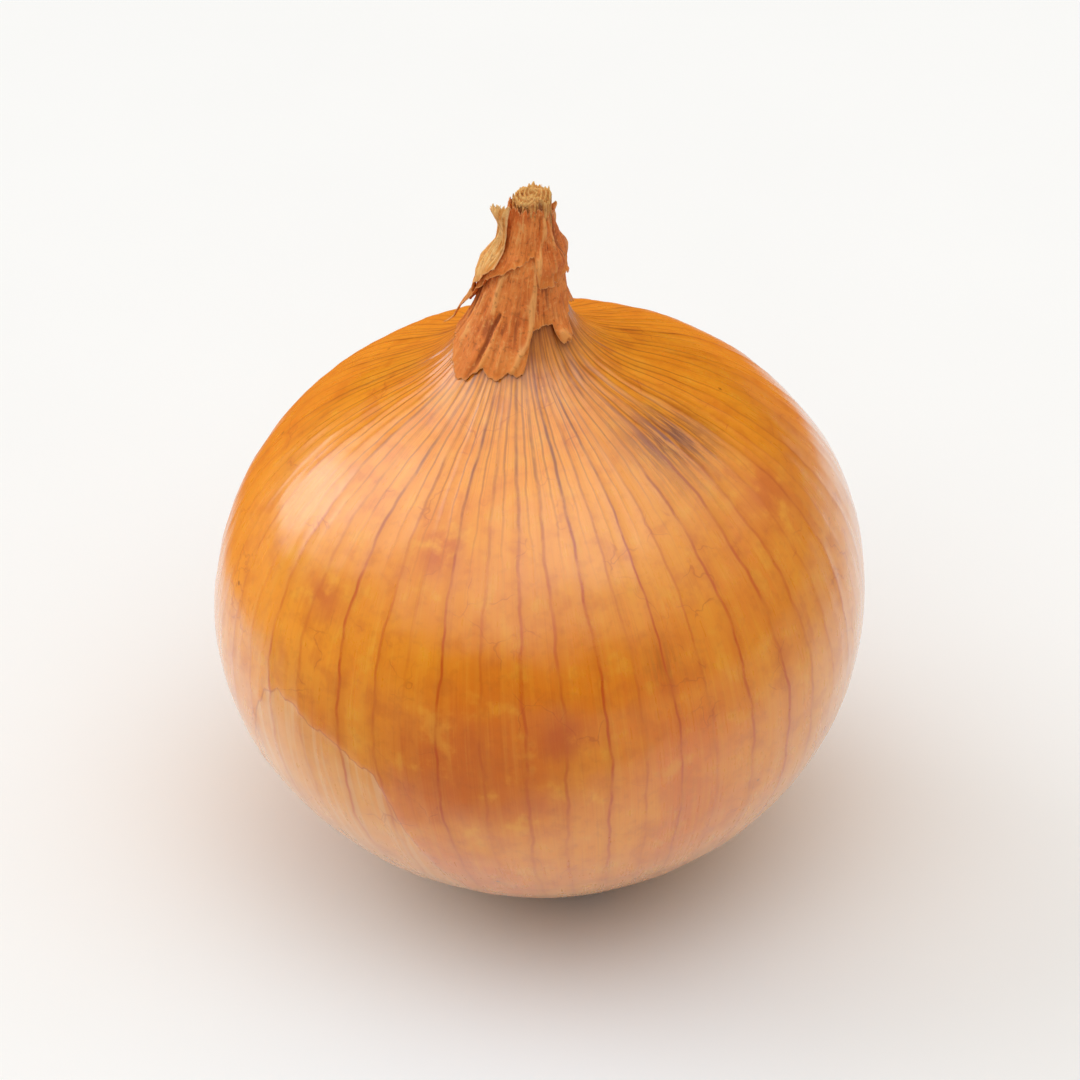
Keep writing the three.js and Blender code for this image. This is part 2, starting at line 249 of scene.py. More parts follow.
class Look:
    """One material. Each method adds a node and returns its output."""

    def __init__(self, name, tree=None):
        if tree is None:
            self.material = bpy.data.materials.new(name)
            self.material.use_nodes = True
            tree = self.material.node_tree
            self.surface = tree.nodes["Principled BSDF"]
        self.tree = tree

    def put(self, socket, value):
        if isinstance(value, bpy.types.NodeSocket):
            self.tree.links.new(value, socket)
        else:
            socket.default_value = value

    def node(self, kind, inputs=(), **settings):
        node = self.tree.nodes.new("ShaderNode" + kind)
        for key, value in settings.items():
            setattr(node, key, value)
        for key, value in dict(inputs).items():
            self.put(node.inputs[key], value)
        return node

    def finish(self, **values):
        """Sets the shader's own sockets, with _ for a space in their names."""
        for key, value in values.items():
            self.put(self.surface.inputs[key.replace("_", " ")], value)
        return self.material

    def math(self, operation, a, b=0.0):
        return self.node("Math", {0: a, 1: b}, operation=operation).outputs[0]

    def add(self, a, b):
        return self.math("ADD", a, b)

    def times(self, a, b):
        return self.math("MULTIPLY", a, b)

    def dot(self, vector, direction):
        return self.node("VectorMath", {0: vector, 1: direction}, operation="DOT_PRODUCT").outputs["Value"]

    def attribute(self, name, output="Fac"):
        return self.node("Attribute", attribute_name=name).outputs[output]

    def parts(self, vector):
        return self.node("SeparateXYZ", {0: vector}).outputs[:3]

    def stretched(self, vector, scale):
        return self.node("VectorMath", {0: vector, 1: scale}, operation="MULTIPLY").outputs[0]

    def place(self):
        """The point on the object, in millimetres."""
        return self.stretched(self.node("TexCoord").outputs["Object"], (1 / MM,) * 3)

    def noise(self, vector, scale=1.0, detail=3.0, distortion=0.0):
        inputs = {"Vector": vector, "Scale": scale, "Detail": detail, "Distortion": distortion}
        inputs["Roughness"] = NOISE_ROUGHNESS
        return self.node("TexNoise", inputs).outputs["Fac"]

    def fibrous(self, even, around, length, detail=3.0):
        """Noise stretched along the meridians."""
        return self.noise(self.stretched(even, (around, around, length)), detail=detail)

    def smooth(self, value, low, high):
        """0 below low, 1 above high, and smooth between. With low over high it falls instead."""
        inputs = {"Value": value, "From Min": min(low, high), "From Max": max(low, high)}
        if low > high:
            inputs.update({"To Min": 1.0, "To Max": 0.0})
        return self.node("MapRange", inputs, interpolation_type="SMOOTHSTEP").outputs[0]

    def mix(self, share, a, b, blend="MIX"):
        node = self.node("Mix", data_type="RGBA", blend_type=blend)
        self.put(node.inputs["Factor"], share)
        self.put(node.inputs[6], a)
        self.put(node.inputs[7], b)
        return node.outputs[2]

    def layer(self, colour, share, strength, code):
        """The colour with a tone over it, as strong as share times strength."""
        return self.mix(self.times(share, strength), colour, tone(code))

    def layers(self, colour, *table):
        """The same for each row: a value, where it starts and is full, the strength and the tone."""
        for value, low, high, strength, code in table:
            colour = self.layer(colour, self.smooth(value, low, high), strength, code)
        return colour

    def bump(self, height, depth, strength):
        """depth is in millimetres for a height from 0 to 1."""
        return self.node("Bump", {"Height": height, "Distance": depth * MM, "Strength": strength}).outputs[0]


# ---- materials

SKIN_ROUGHNESS = 0.16


def skin_material():
    """The satin outer skin: golden, with meridian fibres, dark veins and the marks of wear."""
    look = Look("onion_skin")
    even = look.attribute("even", "Vector")
    x, _, along = look.parts(even)
    sideways = look.math("ABSOLUTE", x)
    place = look.place()
    fibres = look.fibrous(even, 170, 11, 2)
    streaks = look.fibrous(even, 40, 6)
    clouds = look.noise(place, 1 / 20, distortion=0.5)
    mottle = look.noise(place, 1 / 3.5, detail=5)
    grain = look.noise(place, 1 / 1.1, detail=2)

    colour = look.mix(look.smooth(clouds, 0.34, 0.66), tone("e87a0e"), tone("f4941a"))
    # Yellower towards the top, the skin's own tone, and painted lighter on the sides seen at left and right,
    # a painted rim light.
    yellow_and_side_light = look.math("MAXIMUM", look.smooth(along, 0.50, 0.62), look.smooth(sideways, 0.5, 0.95))
    colour = look.layer(colour, yellow_and_side_light, 0.40, "f8a828")
    colour = look.layers(
        colour,
        (streaks, 0.44, 0.72, 0.30, "f4a322"),
        (mottle, 0.5, 0.70, 0.40, "d4680e"),
        (mottle, 0.46, 0.30, 0.35, "f6b038"),
        (fibres, 0.50, 0.75, 0.20, "f6b43c"),
        (fibres, 0.46, 0.25, 0.16, "c8640e"),
        (grain, 0.52, 0.70, 0.16, "c4600c"),
        (along, 0.33, 0.05, 0.75, "f2b45c"),
    )
    papery = look.smooth(look.add(along, look.times(mottle, 0.05)), 0.85, 0.91)
    colour = look.layer(colour, papery, 0.7, "c4691f")
    colour = look.layer(colour, look.times(papery, look.smooth(fibres, 0.5, 0.66)), 0.6, "964a17")

    exposed, edge, pale_fibres = torn_skin(look, even)
    colour = look.layer(colour, exposed, 0.40, "f2b060")
    colour = look.layer(colour, look.times(exposed, pale_fibres), 0.28, "f6cc98")
    colour = look.layer(colour, edge, 0.45, "b84c0c")

    bruise, blotch, _ = look.parts(look.attribute("marks", "Vector"))
    scuffs = look.smooth(look.fibrous(even, 60, 26, 4), 0.40, 0.60)
    scuffed = look.add(look.times(scuffs, 0.7), 0.35)
    colour = look.mix(look.times(bruise, scuffed), colour, tone("78380f"))
    colour = look.layer(colour, look.times(blotch, look.smooth(mottle, 0.28, 0.52)), 0.85, "cc5406")

    colour = look.layer(colour, cracks(look, place), 0.36, "b84408")
    colour = look.layer(colour, specks(look, place), 0.7, "8a4010")
    colour = drawn_veins(look, colour, even, along)

    matt = look.times(look.add(mottle, streaks), 0.13)
    matt = look.add(matt, look.times(papery, 0.25))
    matt = look.add(matt, look.times(look.add(blotch, look.smooth(along, 0.74, 0.86)), 0.18))
    return look.finish(
        Base_Color=colour,
        Roughness=look.add(matt, SKIN_ROUGHNESS),
        IOR=1.5,
        Coat_Weight=1.0,
        Coat_Roughness=0.2,
        Coat_IOR=1.5,
        Subsurface_Weight=0.12,
        Subsurface_Radius=(1.0, 0.4, 0.15),
        Subsurface_Scale=1.6 * MM,
    )


def torn_skin(look, even):
    """Where the outer skin is gone, how near its torn edge is, and the pale fibres left there."""
    beyond = look.parts(look.attribute("marks", "Vector"))[2]
    exposed = look.smooth(beyond, 0.1, -0.15)
    edge = look.smooth(look.math("ABSOLUTE", beyond), 0.20, 0.03)
    fibres = look.fibrous(even, 48, 5, 4)
    return exposed, edge, look.smooth(fibres, 0.50, 0.62)


def cracks(look, place):
    """Sparse hair-thin curly cracks across the skin."""
    curl = look.node("TexNoise", {"Vector": place, "Scale": 1 / 5, "Detail": 3.0}).outputs["Color"]
    bent = look.node("VectorMath", {0: curl, 1: (6, 6, 6), 2: place}, operation="MULTIPLY_ADD").outputs[0]
    cells = look.node("TexVoronoi", {"Vector": bent, "Scale": 1 / 5.5}, feature="DISTANCE_TO_EDGE")
    some = look.smooth(look.noise(place, 1 / 7), 0.52, 0.64)
    return look.times(look.smooth(cells.outputs["Distance"], 0.022, 0.004), some)


def specks(look, place):
    """A few small dark specks."""
    cells = look.node("TexVoronoi", {"Vector": place, "Scale": 1 / 4.5})
    dot = look.smooth(cells.outputs["Distance"], 0.09, 0.04)
    chance = look.parts(cells.outputs["Color"])[0]
    return look.times(dot, look.smooth(chance, 0.80, 0.83))


def drawn_veins(look, colour, even, along):
    """The ink of the veins: grey-brown near the neck, red-brown at the belly, and faint underneath."""
    main, ink, lesser = look.parts(look.attribute("vein", "Vector"))
    broken = look.smooth(look.fibrous(even, 9, 26, 4), 0.34, 0.60)
    high = look.smooth(along, 0.58, 0.78)
    main_ink = look.mix(high, tone("cc5206"), tone("864214"))
    lesser_ink = look.mix(high, tone("c06010"), tone("8c4812"))
    strength = look.times(ink, look.add(look.times(broken, 0.60), 0.28))
    strength = look.times(strength, look.add(look.times(look.smooth(along, 0.24, 0.46), 0.65), 0.35))
    colour = look.layer(colour, look.times(look.smooth(main, 1.3, 0.1), ink), 0.20, "c2600f")
    colour = look.mix(look.times(look.smooth(main, 0.32, 0.04), strength), colour, main_ink)
    thin = look.times(look.smooth(lesser, 0.21, 0.03), look.times(high, 0.55))
    colour = look.mix(thin, colour, lesser_ink)
    threads = look.smooth(look.fibrous(even, 150, 4, 1), 0.56, 0.66)
    threads_seen = look.times(look.smooth(along, 0.66, 0.82), 0.34)
    return look.mix(look.times(threads, threads_seen), colour, lesser_ink)


def paper_material(name, dark, middle, light, torn):
    """A dry papery leaf, with painted shade in its creases and a painted highlight on its ridges, and paler
    at its torn edges.
    """
    look = Look(name)
    even = look.attribute("even", "Vector")
    fold, rim, share = look.parts(look.attribute("paper", "Vector"))
    place = look.place()
    fibres = look.fibrous(even, 22, 24, 4)
    patches = look.noise(place, 1 / 4, detail=4)
    speckle = look.noise(place, 1 / 0.55, detail=3)
    colour = look.mix(look.smooth(patches, 0.35, 0.65), tone(dark), tone(middle))
    colour = look.layers(
        colour,
        # Painted shade and highlight: lighter on the ridges of the folds, darker in the creases.
        (fold, 0.15, 1.0, 0.6, light),
        (fold, -0.15, -0.9, 0.7, "7d3411"),
        (fibres, 0.50, 0.68, 0.22, light),
        (fibres, 0.46, 0.32, 0.22, "8f4519"),
        (speckle, 0.54, 0.68, 0.38, "7e3c16"),
        (speckle, 0.44, 0.32, 0.38, light),
        (share, 0.22, 0.0, 0.45, "e6862c"),
        (rim, 0.20, 0.02, 0.28, torn),
    )
    grain = look.add(look.times(fibres, 0.5), look.times(speckle, 0.7))
    return look.finish(
        Base_Color=colour,
        Roughness=0.68,
        Normal=look.bump(grain, 0.18, 0.7),
        IOR=1.45,
        Subsurface_Weight=0.08,
        Subsurface_Radius=(1.0, 0.5, 0.2),
        Subsurface_Scale=0.8 * MM,
    )


def root_material():
    """Dry roots, each between dark brown and straw, dusted with soil."""
    look = Look("dry_roots")
    shade = look.attribute("shade")
    dust = look.noise(look.place(), 1 / 0.5, detail=3)
    colour = look.mix(shade, tone("4a3524"), tone("b79a68"))
    colour = look.layer(colour, look.smooth(dust, 0.5, 0.7), 0.5, "33261b")
    return look.finish(Base_Color=colour, Roughness=0.85, Normal=look.bump(dust, 0.1, 0.6))


# ---- the bulb

FRONT_VEINS = (  # degrees from the side that faces -Y, positive to +X, and how dark the vein is
    (-82, 0.35), (-74, 0.3), (-67, 0.4), (-60, 0.3), (-54, 0.65), (-47, 0.45), (-39, 0.95), (-31, 0.6),
    (-25, 0.25), (-18, 0.95), (-10, 0.45), (-3, 0.75), (3, 0.7), (10, 1.0), (17, 0.55), (25, 1.0),
    (34, 0.5), (43, 0.9), (51, 0.85), (57, 0.6), (63, 0.35), (70, 0.6),
)
COLUMN_SHARES = (0.0, 0.14, 0.5, 0.86)  # of the way from one vein to the next
BULB_ROWS = 240


def from_front(degrees):
    """Azimuth, in radians, of an angle given from the side that faces -Y."""
    return np.radians(degrees - 90)


def degrees_from_front(azimuth):
    """The same angle back, from -180 to 180."""
    return (np.degrees(azimuth) + 90 + 180) % 360 - 180


def vein_lines():
    """Azimuths of all veins in order round the bulb, main and lesser by turns, and how dark each is."""
    random = random_from(3)
    front, ink = np.array(FRONT_VEINS, float).T
    unseen = VEINS - len(front)
    step = (360 - (front[-1] - front[0])) / (unseen + 1)
    back = front[-1] + step * np.arange(1, unseen + 1) + random.uniform(-1.6, 1.6, unseen)
    main = np.concatenate([front, back])
    lesser = (main + np.append(main[1:], main[0] + 360)) / 2 + random.uniform(-0.5, 0.5, VEINS)
    lines = from_front(np.stack([main, lesser], axis=1).ravel())
    all_ink = np.concatenate([ink, random.uniform(0.25, 1.0, unseen)])
    return lines, np.stack([all_ink, np.zeros(VEINS)], axis=1).ravel()


VEIN_WANDER = ((23, 0.28, 0), (61, 0.20, 1), (150, 0.12, 2), (310, 0.06, 0))  # pace, degrees, which phase


def wander(lines, along):
    """How far each vein strays from its azimuth: neighbours together, and each a little on its own."""
    random = random_from(4)
    phase = random.uniform(0, TURN, (3, len(lines)))
    t = along[:, None]
    together = 0.55 * np.sin(7 * t + 3 * lines + 1) + 0.3 * np.sin(17 * t + 5 * lines)
    alone = sum(size * np.sin(pace * t + phase[k]) for pace, size, k in VEIN_WANDER)
    return np.radians(together + alone)


def bulb_grid():
    """Azimuths and places along the skin line of the bulb's mesh, with columns that follow the veins."""
    along = np.linspace(0.006, SKIN.at_height(BULB_TOP_Z), BULB_ROWS)
    lines, inks = vein_lines()
    path = lines + wander(lines, along)
    following = np.concatenate([path[:, 1:], path[:, :1] + TURN], axis=1)
    shares = np.array(COLUMN_SHARES)
    gap = following - path
    azimuth = (path[:, :, None] + gap[:, :, None] * shares).reshape(len(along), -1)
    gaps = np.repeat(gap, len(shares), axis=1)
    share = np.tile(shares, len(lines))[None, :]
    main_lines = np.arange(len(lines)) % 2 == 0
    is_main = np.repeat(main_lines, len(shares))[None, :]
    here, there = share * gaps, (1 - share) * gaps
    to_main = np.where(is_main, here, there)
    to_lesser = np.where(is_main, there, here)
    line_ink = np.where(main_lines, inks, np.roll(inks, -1))
    ink = np.repeat(line_ink, len(shares))[None, :]
    along = along[:, None] + 0 * azimuth
    return azimuth, along, to_main, to_lesser, ink + 0 * azimuth


TEAR = (  # the outer skin's torn lower edge: degrees from the front, place along the skin line
    (-20, 0.20), (-23, 0.27), (-26, 0.33), (-29, 0.375), (-31, 0.41), (-33, 0.435), (-38, 0.45),
    (-43, 0.462), (-48, 0.475), (-52, 0.482), (-55, 0.47), (-58, 0.44), (-61, 0.40), (-65, 0.35),
    (-70, 0.29), (-76, 0.23), (-84, 0.17), (-90, 0.13),
)
TEAR_TEETH = 90
TEAR_TOOTH = 0.004  # of the skin line
FAR = 20  # millimetres, and the most that counts


def beyond_tear(azimuth, along):
    """Millimetres from the torn edge, negative where the outer skin is gone."""
    random = random_from(9)
    front, height = np.array(TEAR[::-1], float).T
    fine = np.linspace(front[0], front[-1], 400)
    teeth = np.linspace(fine[0], fine[-1], TEAR_TEETH)
    jagged = np.interp(fine, teeth, random.uniform(-1, 1, TEAR_TEETH))
    curve = np.interp(fine, front, height) + jagged * TEAR_TOOTH
    flat = beside(azimuth, along, 0.0).reshape(-1, 3)
    nearest = np.full(len(flat), np.inf)
    for point in beside(from_front(fine), curve, 0.0):
        nearest = np.minimum(nearest, ((flat - point) ** 2).sum(axis=1))
    degrees = degrees_from_front(azimuth)
    within = (degrees > front[0]) & (degrees < front[-1])
    gone = within & (along < np.interp(degrees, fine, curve))
    return np.where(gone, -1, 1) * np.minimum(np.sqrt(nearest).reshape(azimuth.shape), FAR)


# Marks on the skin: degrees from the front, place along the skin line, radius in millimetres, strength.
BRUISES = (
    (57, 0.725, 5, 1.0), (61, 0.705, 4, 0.8), (53, 0.69, 5, 0.35), (25, 0.54, 3, 0.3), (150, 0.66, 6, 0.5),
)
BLOTCHES = (
    (-15, 0.452, 10.0, 0.42), (-2, 0.44, 8.0, 0.30), (-22, 0.66, 3.0, 0.9), (66, 0.62, 4.0, 0.7),
    (3, 0.49, 3.4, 0.9), (-46, 0.59, 2.6, 0.8), (25, 0.52, 2.0, 0.4), (-140, 0.60, 4.0, 0.6),
    (118, 0.50, 3.0, 0.7), (172, 0.42, 3.5, 0.6),
)


def spots(azimuth, along, table):
    """A soft spot, from 0 to 1, round each place in a table."""
    points = beside(azimuth, along, 0.0)
    total = np.zeros(azimuth.shape)
    for front, height, radius, strength in table:
        middle = beside(from_front(front), height, 0.0)
        away = ((points - middle) ** 2).sum(axis=-1) / radius**2
        total = np.maximum(total, strength * np.exp(-away))
    return total


# The skin's low relief, in millimetres.
VEIN_HEIGHT = 0.02
INKED_VEIN_HEIGHT = 0.05  # more where the ink is dark
LESSER_VEIN_HEIGHT = 0.015
VEIN_WIDTH = 0.45
SWELL = 0.30
SWELL_SIZE = 24
DENTS = 0.05
STRIPS = 0.045
TORN_STEP = 0.10
PUCKER = 0.12


def unevenness(azimuth, along):
    """The slow swell of the bulb's skin, which what lies on it follows."""
    return SWELL * rough(beside(azimuth, along, 0.0), SWELL_SIZE, 1)


def ridge(distance):
    return np.exp(-((distance / VEIN_WIDTH) ** 2))


def skin_relief(azimuth, along, main, lesser, ink, tear):
    """How far the skin stands off the skin line."""
    r = SKIN.at(along)[0]
    ribbed = smoothstep(r, 6, 16) * (0.3 + 0.7 * smoothstep(along, 0.30, 0.55))
    veins = (VEIN_HEIGHT + INKED_VEIN_HEIGHT * ink) * ridge(main) + LESSER_VEIN_HEIGHT * ridge(lesser)
    strips = STRIPS * rough(polar(azimuth, 26, along * 8), 1, 6, 2)
    dents = DENTS * rough(beside(azimuth, along, 0.0), 5, 2)
    puckered = smoothstep(r, 19, 9) * (along > 0.5) + smoothstep(r, 16, 8) * (along < 0.5)
    pucker = PUCKER * (1 - 2 * np.abs(rough(polar(azimuth, 7, along * 14), 1, 5)))
    step = TORN_STEP * smoothstep(tear, -0.2, 0.2)
    return ribbed * (veins + strips) + unevenness(azimuth, along) + dents + step + pucker * puckered


def make_bulb():
    azimuth, along, to_main, to_lesser, ink = bulb_grid()
    r = SKIN.at(along)[0]
    main, lesser = to_main * r, to_lesser * r
    tear = beyond_tear(azimuth, along)
    relief = skin_relief(azimuth, along, main, lesser, ink, tear)

    rows, columns = azimuth.shape
    points = grown(beside(azimuth, along, relief)).reshape(-1, 3)
    low, high = points[:columns].mean(axis=0), points[-columns:].mean(axis=0)
    points = np.concatenate([points, [low, high]])
    bruise, blotch = spots(azimuth, along, BRUISES), spots(azimuth, along, BLOTCHES)
    attributes = {
        "even": even_places(azimuth, along),
        "vein": triples(main, ink, lesser),
        "marks": triples(bruise, blotch, tear),
    }
    return points, closed_faces(rows, columns), with_ends(attributes)


# ---- dry leaves

GAP = 0.3  # between the CAD pieces
LEAF = 0.6  # thickness of a leaf in the CAD
FILM = 0.28  # thickness of a leaf here

COLLAR_HEM = SKIN.at_height(SHOULDER_Z + 1.4)
COLLAR_RIM = SKIN.at_height(SHOULDER_Z + 13)
SHEATH_HEM = SKIN.at_height(SHOULDER_Z + 6)
SHEATH_RIM = SKIN.at_height(NECK_TOP_Z - 0.9)

# Torn hems: degrees from the front, and millimetres above the leaf's own hem.
COLLAR_HEM_RISE = (
    (-180, 2.0), (-120, 1.6), (-90, 2.4), (-74, 1.8), (-60, 0.2), (-50, -0.8), (-44, -0.7), (-41, 0.5),
    (-33, 1.3), (-20, 0.3), (-10, 1.2), (-4, 0.7), (2, 1.3), (5, 3.0), (8, 5.2), (12, 6.6), (30, 7.0),
    (42, 6.4), (46, 3.8), (54, 3.2), (61, 3.7), (67, 6.4), (85, 7.4), (105, 5.5), (130, 3.4), (180, 2.0),
)
SHEATH_HEM_RISE = (
    (-180, 1.6), (-115, 0), (-85, 3.4), (-62, 6.6), (-44, 7.8), (-30, 8.8), (-9, 9.8), (9, 10.6), (13, 8.4),
    (18, 6.5), (26, 6.1), (57, 6.0), (78, 6.3), (105, 4.8), (140, 3.0), (180, 1.6),
)

# Folds that can be told apart: a path in degrees from the front and places along the skin line, the height
# in millimetres, below 0 for a crease, and the width.
LONG_FOLD = ((12, 0.905), (10, 0.887), (6, 0.868), (0, 0.856), (-6, 0.841))
COLLAR_FOLDS = (
    (((14, 0.942), (13, 0.928)) + LONG_FOLD, 0.55, 0.42),
    (((-38, 0.932), (-43, 0.916), (-42, 0.902), (-41, 0.893)), 0.45, 0.40),
    (((-32, 0.893), (-37, 0.877), (-39, 0.859), (-42, 0.843), (-45, 0.822)), -0.60, 0.34),
    (((-26, 0.893), (-31, 0.874), (-34, 0.856), (-37, 0.838)), 0.30, 0.45),
    (((-16, 0.900), (-14, 0.880), (-18, 0.860), (-20, 0.840)), 0.30, 0.35),
    (((-60, 0.905), (-66, 0.880), (-70, 0.855)), 0.35, 0.55),
    (((50, 0.866), (54, 0.857)), 0.70, 0.55),
    (((42, 0.868), (42, 0.861)), -0.70, 0.35),
    (((-90, 0.905), (-92, 0.880), (-88, 0.850)), -0.40, 0.40),
    (((150, 0.930), (160, 0.890), (150, 0.850)), 0.45, 0.50),
    (((175, 0.920), (-175, 0.880), (-172, 0.850)), -0.45, 0.40),
    (((-140, 0.930), (-135, 0.890), (-142, 0.850)), 0.40, 0.55),
)
SHEATH_FOLDS = (
    (((38, 0.985), (34, 0.972), (23, 0.957), (15, 0.942), (15, 0.925)), 0.45, 0.40),
    (((26, 0.985), (24, 0.968), (14, 0.953)), -0.30, 0.35),
    (((55, 0.990), (58, 0.960), (52, 0.930)), 0.32, 0.42),
    (((78, 0.985), (76, 0.950), (82, 0.925)), -0.35, 0.42),
    (((-22, 0.992), (-24, 0.970), (-20, 0.950)), 0.28, 0.36),
    (((120, 0.990), (128, 0.950), (120, 0.910)), 0.45, 0.45),
    (((160, 0.990), (150, 0.940), (158, 0.900)), -0.45, 0.40),
    (((-150, 0.990), (-145, 0.940), (-155, 0.895)), 0.45, 0.50),
)

# Millimetres that the sheath's upper edge sinks, and that the flap's lower edge runs above SHEATH_HEM.
SHEATH_RIM_DROP = (
    (-180, 1.8), (-140, 0.8), (-110, 0.2), (-60, 0), (20, 0), (50, 0.7), (75, 1.8), (110, 2.2), (180, 1.8),
)
FLAP_HEM_RISE = (
    (-107, -5.2), (-101, -1.6), (-94, 1.8), (-84, 4.4), (-70, 6.2), (-58, 7.8), (-49, 8.9),
)


def hem_rise(table, azimuth):
    """A hem table read at azimuths in radians."""
    degrees, rise = np.array(table, float).T
    return np.interp(degrees_from_front(azimuth), degrees, rise)


def turn_from(start, azimuth):
    """The shorter way round from one azimuth to another."""
    return np.arctan2(np.sin(azimuth - start), np.cos(azimuth - start))


def named_folds(azimuth, along, table):
    """The height of a table's folds at each point, in millimetres."""
    r = SKIN.at(along)[0] + 1
    total = np.zeros(azimuth.shape)
    for path, height, width in table:
        nearest = np.full(azimuth.shape, np.inf)
        for (start_degrees, start_along), (end_degrees, end_along) in zip(path, path[1:]):
            start, end = from_front(start_degrees), from_front(end_degrees)
            x = turn_from(start, azimuth) * r
            y = (along - start_along) * SKIN.length
            step_x = turn_from(start, end) * r
            step_y = (end_along - start_along) * SKIN.length
            share = np.clip((x * step_x + y * step_y) / (step_x**2 + step_y**2), 0, 1)
            nearest = np.minimum(nearest, np.hypot(x - share * step_x, y - share * step_y))
        total = total + height * np.exp(-((nearest / width) ** 2))
    return total


def ragged(azimuth, seed, teeth=9.0):
    """How far a torn edge strays at each azimuth, from about -1 to 1."""
    zero = np.zeros_like(azimuth)
    slow = rough(np.stack([azimuth * teeth / 3, zero + seed, zero], axis=-1), 1, seed, 2)
    fine = rough(np.stack([azimuth * teeth, zero, zero + seed], axis=-1), 1, seed, 4)
    return 0.7 * slow + 0.8 * fine


def creased(azimuth, along, seed, around, length):
    """Sharp-crested folds from -1 to 1 that run mostly along the leaf."""
    zero = np.zeros_like(azimuth)
    place = np.stack([azimuth * around, along * length, zero + 3.3 * seed], axis=-1)
    return 1 - 2 * np.minimum(1, np.abs(rough(place, 1, seed, 2)) * 2.2)


def sheet_faces(columns, rows):
    """Faces of a closed sheet: outer points first, then inner ones, both by column and then row."""
    side = (columns + 1) * (rows + 1)
    i, j = np.meshgrid(np.arange(columns), np.arange(rows), indexing="ij")
    a = i * (rows + 1) + j
    quads = np.stack([a, a + rows + 1, a + rows + 2, a + 1], axis=-1).reshape(-1, 4)
    grid = np.arange(side).reshape(columns + 1, rows + 1)
    border = np.concatenate([grid[:-1, 0], grid[-1, :-1], grid[:0:-1, -1], grid[0, :0:-1]])
    following = np.roll(border, -1)
    rim = np.stack([border + side, following + side, following, border], axis=-1)
    return np.concatenate([quads, quads[:, ::-1] + side, rim]).tolist()


def leaf(start, end, low, high, outer, columns, rows, film=FILM):
    """A thin closed sheet round the onion. low(azimuth) and high(azimuth) are its edges along the skin line.

    outer(azimuth, along, rim) gives its outer face's lift off the skin and how creased it is, where rim is
    the distance to the nearest edge in millimetres."""
    azimuth = np.repeat(np.linspace(start, end, columns + 1)[:, None], rows + 1, axis=1)
    share = np.linspace(0, 1, rows + 1)[None, :] + 0 * azimuth
    bottom, top = low(azimuth), high(azimuth)
    along = bottom + (top - bottom) * share
    r = SKIN.at(along)[0]
    sides = np.minimum(azimuth - start, end - azimuth) * r
    rim = np.minimum(np.minimum(along - bottom, top - along) * SKIN.length, sides)
    lift, fold = outer(azimuth, along, rim)
    lift = lift + unevenness(azimuth, along)
    thick = film * (0.35 + 0.65 * smoothstep(rim, 0, 0.8))
    points = np.stack([beside(azimuth, along, lift), beside(azimuth, along, lift - thick)])
    # The fold value becomes the paper's painted crease shade and painted ridge highlight.
    attributes = {"even": even_places(azimuth, along), "paper": triples(fold, rim, share)}
    attributes = {key: np.concatenate([values, values]) for key, values in attributes.items()}
    return grown(points).reshape(-1, 3), sheet_faces(columns, rows), attributes


SHEATH_OFF_CAD = -0.05  # from the inner face of the CAD's sheath to the outer face of this one


def collar_lift(azimuth, along):
    """The collar's inner face in the CAD."""
    share = (along - COLLAR_HEM) / (COLLAR_RIM - COLLAR_HEM)
    return GAP + 0.20 * np.abs(np.sin(9 * azimuth)) * smoothstep(share, 0, 0.5)


def sheath_lift(azimuth, along):
    """The sheath's inner face in the CAD."""
    over_collar = collar_lift(azimuth, along) + LEAF + GAP
    share = (along - COLLAR_RIM) / (SHEATH_RIM - COLLAR_RIM)
    seated = smoothstep(share, 0.06, 0.5)
    roll = 1.1 * smoothstep(np.degrees(azimuth), -10, 95)
    fold = 0.3 * np.sin(4 * azimuth + 60 * along) ** 2
    return over_collar * (1 - seated) + GAP * seated + roll + fold


def neck_collar():
    """The lower dry leaf: on the shoulder at its torn hem, tight under the sheath at its top."""

    def outer(azimuth, along, rim):
        down = (along - COLLAR_HEM) * SKIN.length
        settled = smoothstep(down, -2.0, 4.0)
        marks = named_folds(azimuth, along, COLLAR_FOLDS)
        long_folds = creased(azimuth + 0.02 * down, along, 12, 2.7, 9)
        short_folds = creased(azimuth, along, 15, 6.5, 26)
        fold = 0.3 * long_folds + 0.3 * short_folds
        lift = 0.28 + 0.52 * settled
        under_sheath = smoothstep(along, 0.925, 0.950)
        deep_under = smoothstep(along, 0.940, 0.958)
        lift = lift * (1 - under_sheath) + (0.42 - 0.27 * deep_under) * under_sheath
        lap = 0.4 * smoothstep(np.degrees(azimuth), 98, 124)
        relief = (0.24 * fold + 0.75 * marks * smoothstep(rim, -0.2, 0.6)) * (0.5 + 0.5 * settled)
        relief = relief * (1 - 0.7 * under_sheath)
        return lift + lap + relief, fold + 2.2 * marks

    def low(azimuth):
        torn = hem_rise(COLLAR_HEM_RISE, azimuth) - 0.5 * ragged(azimuth, 5, 14)
        return COLLAR_HEM + torn / SKIN.length

    def high(azimuth):
        return COLLAR_RIM + (4 + 0.35 * ragged(azimuth, 8)) / SKIN.length

    return leaf(np.radians(-245), np.radians(126), low, high, outer, columns=500, rows=96)


